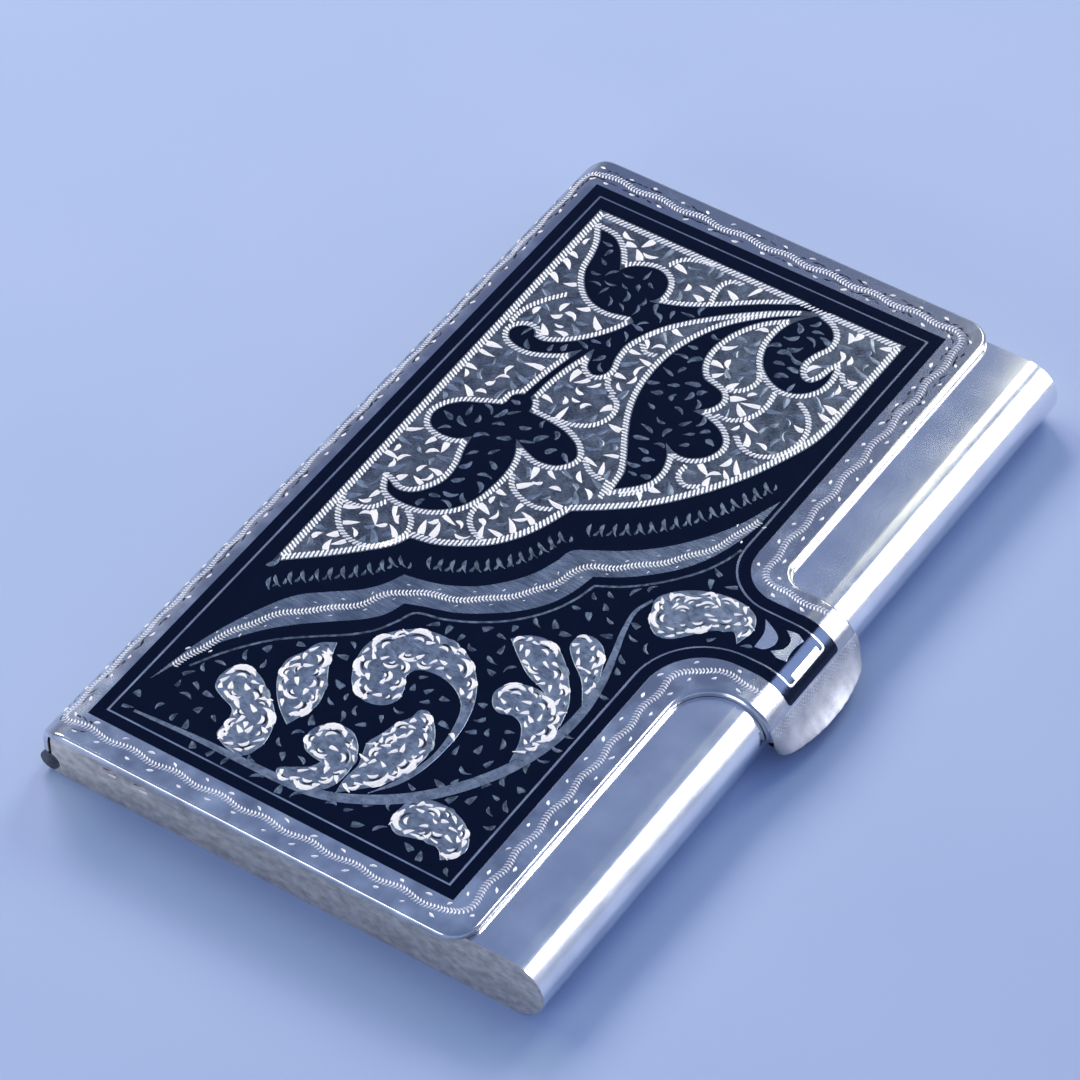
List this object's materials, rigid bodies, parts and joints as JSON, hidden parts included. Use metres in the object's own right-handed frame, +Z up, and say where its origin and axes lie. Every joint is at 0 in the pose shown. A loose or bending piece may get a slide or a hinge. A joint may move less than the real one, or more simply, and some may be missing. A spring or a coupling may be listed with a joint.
{
  "type": "business card case",
  "caption": "Flat flip-lid pocket case in sheet silver: tray with a half-round nose, rolled and hinged lid with a niello panel, and a neck that curls over the nose into a thumb lip.",
  "frame": {"origin": "on the tray's underside, midway along its length and midway between the nose and the back of the lid's roll", "axes": "+X along the long side, -Y to the front edge with the thumb catch, +Y to the hinge, +Z up through the lid"},
  "size_m": [0.095, 0.0615, 0.0077],
  "materials": {
    "silver": "polished sheet silver, lightly scratched",
    "satin_silver": "satin silver with a greyed, hand-worked surface",
    "hinge_silver": "drawn silver tube and wire",
    "niello": "polished blue-black niello"
  },
  "bodies": {
    "tray": {"tray_shell": "silver", "end_wall_left": "satin_silver", "end_wall_right": "satin_silver", "hinge_rail": "silver", "tray_knuckle_1": "hinge_silver", "tray_knuckle_2": "hinge_silver", "tray_knuckle_3": "hinge_silver", "tray_knuckle_4": "hinge_silver", "hinge_pin": "hinge_silver"},
    "lid": {"lid_sheet": "silver", "thumb_lip": "silver", "lid_knuckle_1": "hinge_silver", "lid_knuckle_2": "hinge_silver", "lid_knuckle_3": "hinge_silver", "niello_border": "niello", "niello_ground": "niello", "niello_spray": "niello", "niello_leaf": "niello", "niello_scroll": "niello"}
  },
  "joints": [
    {"name": "lid_hinge", "type": "hinge", "parent": "tray", "child": "lid", "pos_m": [0, 0.0284, 0.0014], "axis": [-1, 0, 0], "range_deg": [0, 105]}
  ]
}
